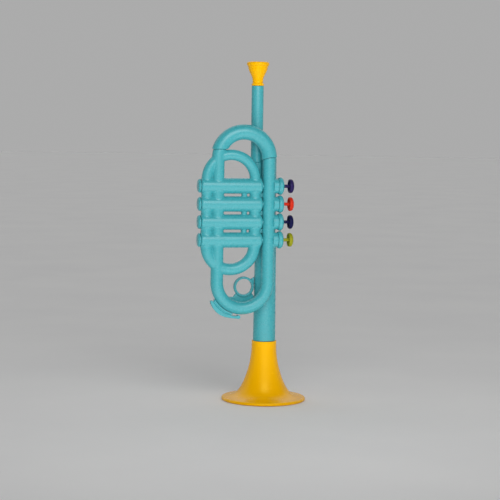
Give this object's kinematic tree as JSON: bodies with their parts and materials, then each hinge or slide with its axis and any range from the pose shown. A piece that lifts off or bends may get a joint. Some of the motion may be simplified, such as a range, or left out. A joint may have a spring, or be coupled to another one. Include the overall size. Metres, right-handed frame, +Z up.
{
  "type": "toy trumpet",
  "caption": "Moulded plastic toy trumpet: flared bell, bell tube, looped tubing, lying valve casings with sprung mushroom keys, lead pipe, cup mouthpiece and finger ring.",
  "frame": {"origin": "centre of the footprint on the plane of the bell rim, on which the trumpet stands", "axes": "+Z up along the bell tube towards the mouthpiece, +X towards the keys, +Y from the looped tubing towards the air chest at the back"},
  "size_m": [0.1172, 0.0854, 0.342],
  "materials": {
    "teal_plastic": "satin moulded teal plastic with a soft broad highlight",
    "yellow_plastic": "satin moulded warm yellow plastic",
    "key_purple": "dark purple moulded plastic",
    "key_red": "orange red moulded plastic",
    "key_blue": "dark blue moulded plastic",
    "key_olive": "yellow olive moulded plastic",
    "seal_rubber": "soft black rubber",
    "reed_brass": "rolled brass sheet",
    "spring_steel": "drawn spring wire and pressed steel",
    "screw_steel": "zinc plated steel"
  },
  "bodies": {
    "trumpet_body": {"body_front_shell": "teal_plastic", "body_rear_shell": "teal_plastic", "bow_front_shell": "teal_plastic", "bow_rear_shell": "teal_plastic", "valve_top_cap_1": "teal_plastic", "valve_top_cap_2": "teal_plastic", "valve_top_cap_3": "teal_plastic", "valve_top_cap_4": "teal_plastic", "valve_bottom_cap_1": "teal_plastic", "valve_bottom_cap_2": "teal_plastic", "valve_bottom_cap_3": "teal_plastic", "valve_bottom_cap_4": "teal_plastic", "return_spring_1": "spring_steel", "return_spring_2": "spring_steel", "return_spring_3": "spring_steel", "return_spring_4": "spring_steel", "air_chest": "teal_plastic", "air_chest_cover": "teal_plastic", "chest_gasket": "seal_rubber", "reed_plate": "reed_brass", "reed_1": "reed_brass", "reed_2": "reed_brass", "reed_3": "reed_brass", "reed_4": "reed_brass", "lead_pipe": "teal_plastic", "mouthpiece": "yellow_plastic", "bell_tube": "teal_plastic", "bell": "yellow_plastic", "finger_ring": "teal_plastic", "drain_lever": "teal_plastic", "shell_screw_1": "screw_steel", "shell_screw_2": "screw_steel", "shell_screw_3": "screw_steel", "shell_screw_4": "screw_steel", "shell_screw_5": "screw_steel", "shell_screw_6": "screw_steel", "chest_screw_1": "screw_steel", "chest_screw_2": "screw_steel", "chest_screw_3": "screw_steel"},
    "key_1_assembly": {"key_1": "key_purple", "stem_collar_1": "spring_steel", "valve_pad_1": "seal_rubber", "pad_retainer_1": "spring_steel"},
    "key_2_assembly": {"key_2": "key_red", "stem_collar_2": "spring_steel", "valve_pad_2": "seal_rubber", "pad_retainer_2": "spring_steel"},
    "key_3_assembly": {"key_3": "key_blue", "stem_collar_3": "spring_steel", "valve_pad_3": "seal_rubber", "pad_retainer_3": "spring_steel"},
    "key_4_assembly": {"key_4": "key_olive", "stem_collar_4": "spring_steel", "valve_pad_4": "seal_rubber", "pad_retainer_4": "spring_steel"}
  },
  "joints": [
    {"name": "key_1_press", "type": "slide", "parent": "trumpet_body", "child": "key_1_assembly", "axis": [-1, 0, 0], "range_m": [0, 0.0035], "stiffness_N_per_m": 140, "springref_m": -0.004, "deforming": ["return_spring_1"]},
    {"name": "key_2_press", "type": "slide", "parent": "trumpet_body", "child": "key_2_assembly", "axis": [-1, 0, 0], "range_m": [0, 0.0035], "stiffness_N_per_m": 140, "springref_m": -0.004, "deforming": ["return_spring_2"]},
    {"name": "key_3_press", "type": "slide", "parent": "trumpet_body", "child": "key_3_assembly", "axis": [-1, 0, 0], "range_m": [0, 0.0035], "stiffness_N_per_m": 140, "springref_m": -0.004, "deforming": ["return_spring_3"]},
    {"name": "key_4_press", "type": "slide", "parent": "trumpet_body", "child": "key_4_assembly", "axis": [-1, 0, 0], "range_m": [0, 0.0035], "stiffness_N_per_m": 140, "springref_m": -0.004, "deforming": ["return_spring_4"]}
  ]
}
